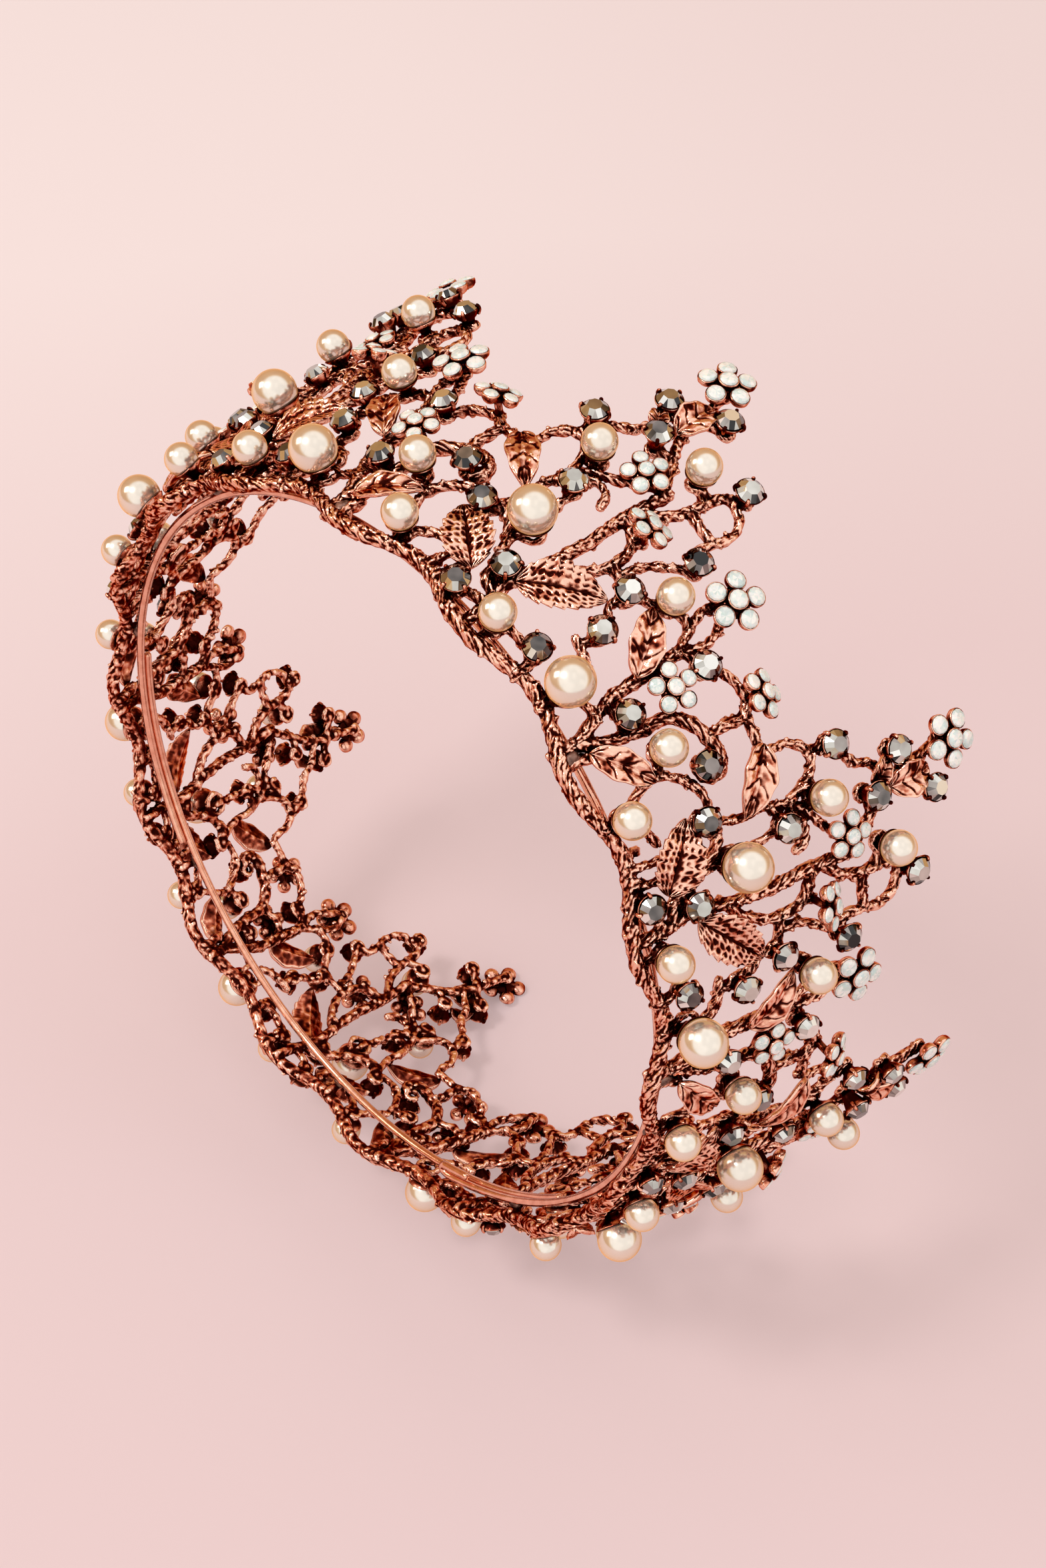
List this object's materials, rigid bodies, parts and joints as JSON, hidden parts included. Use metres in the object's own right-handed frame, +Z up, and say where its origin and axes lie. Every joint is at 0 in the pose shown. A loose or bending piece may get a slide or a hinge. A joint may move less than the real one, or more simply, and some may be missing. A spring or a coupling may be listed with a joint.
{
  "type": "baroque crown",
  "caption": "Full-round antique copper crown: a ring of cast vine panels with leaves, pearls, dark crystals and opal flowers, worn on the head as a bridal headpiece.",
  "frame": {"origin": "centre of the ring, on the surface that the crown stands on", "axes": "+Z up through the ring; -Y towards the tip flower of panel 1"},
  "size_m": [0.1836, 0.1836, 0.0683],
  "materials": {
    "antique_copper": "polished antique rose copper with dark patina in the hollows",
    "pearl": "cream nacre lustre",
    "crystal": "faceted hematite grey, mirror bright",
    "opal": "milky white opal cabochon",
    "copper_wire": "drawn wire, copper plated",
    "solder": "dark, dull solder"
  },
  "bodies": {
    "root": {"panel_1_vine_casting": "antique_copper", "panel_1_leaves": "antique_copper", "panel_1_settings": "antique_copper", "panel_1_large_pearls": "pearl", "panel_1_small_pearls": "pearl", "panel_1_crystals": "crystal", "panel_1_opals": "opal", "panel_2_vine_casting": "antique_copper", "panel_2_leaves": "antique_copper", "panel_2_settings": "antique_copper", "panel_2_large_pearls": "pearl", "panel_2_small_pearls": "pearl", "panel_2_crystals": "crystal", "panel_2_opals": "opal", "panel_3_vine_casting": "antique_copper", "panel_3_leaves": "antique_copper", "panel_3_settings": "antique_copper", "panel_3_large_pearls": "pearl", "panel_3_small_pearls": "pearl", "panel_3_crystals": "crystal", "panel_3_opals": "opal", "panel_4_vine_casting": "antique_copper", "panel_4_leaves": "antique_copper", "panel_4_settings": "antique_copper", "panel_4_large_pearls": "pearl", "panel_4_small_pearls": "pearl", "panel_4_crystals": "crystal", "panel_4_opals": "opal", "panel_5_vine_casting": "antique_copper", "panel_5_leaves": "antique_copper", "panel_5_settings": "antique_copper", "panel_5_large_pearls": "pearl", "panel_5_small_pearls": "pearl", "panel_5_crystals": "crystal", "panel_5_opals": "opal", "panel_6_vine_casting": "antique_copper", "panel_6_leaves": "antique_copper", "panel_6_settings": "antique_copper", "panel_6_large_pearls": "pearl", "panel_6_small_pearls": "pearl", "panel_6_crystals": "crystal", "panel_6_opals": "opal", "panel_7_vine_casting": "antique_copper", "panel_7_leaves": "antique_copper", "panel_7_settings": "antique_copper", "panel_7_large_pearls": "pearl", "panel_7_small_pearls": "pearl", "panel_7_crystals": "crystal", "panel_7_opals": "opal", "panel_8_vine_casting": "antique_copper", "panel_8_leaves": "antique_copper", "panel_8_settings": "antique_copper", "panel_8_large_pearls": "pearl", "panel_8_small_pearls": "pearl", "panel_8_crystals": "crystal", "panel_8_opals": "opal", "ring_wire_long": "copper_wire", "ring_wire_short": "copper_wire", "solder_joints": "solder"}
  },
  "joints": []
}
